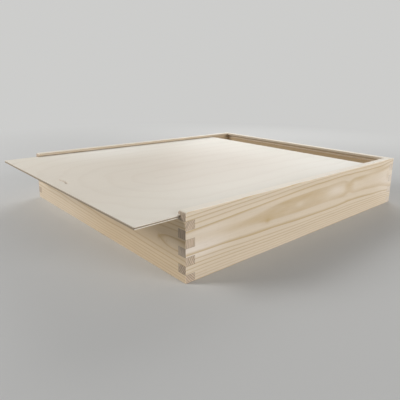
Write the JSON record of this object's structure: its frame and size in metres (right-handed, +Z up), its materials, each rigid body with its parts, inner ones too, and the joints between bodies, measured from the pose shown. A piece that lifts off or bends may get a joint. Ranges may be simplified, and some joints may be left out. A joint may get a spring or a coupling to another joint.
{
  "type": "sliding lid box",
  "caption": "Flat pine box for papers and keepsakes with finger-jointed corners and a thin plywood lid that slides out of grooves in the side walls.",
  "frame": {"origin": "on the underside, in the middle of the four walls, with the drawn-out lid left out", "axes": "+X along the front wall, from the left wall to the right wall; +Y from the front wall to the back wall; +Z up. The lid is drawn out towards -Y"},
  "size_m": [0.34, 0.4174, 0.064],
  "materials": {
    "pine_board": "bare sanded pine with yellow-brown growth lines and greyer end grain",
    "thin_plywood": "bare sanded pale plywood, plies showing at the edges"
  },
  "bodies": {
    "box": {"front_wall": "pine_board", "back_wall": "pine_board", "left_wall": "pine_board", "right_wall": "pine_board", "bottom_panel": "thin_plywood"},
    "lid": {"sliding_lid": "thin_plywood"}
  },
  "joints": [
    {"name": "lid_slide", "type": "slide", "parent": "box", "child": "lid", "axis": [0, -1, 0], "range_m": [-0.0434, 0.33]}
  ]
}
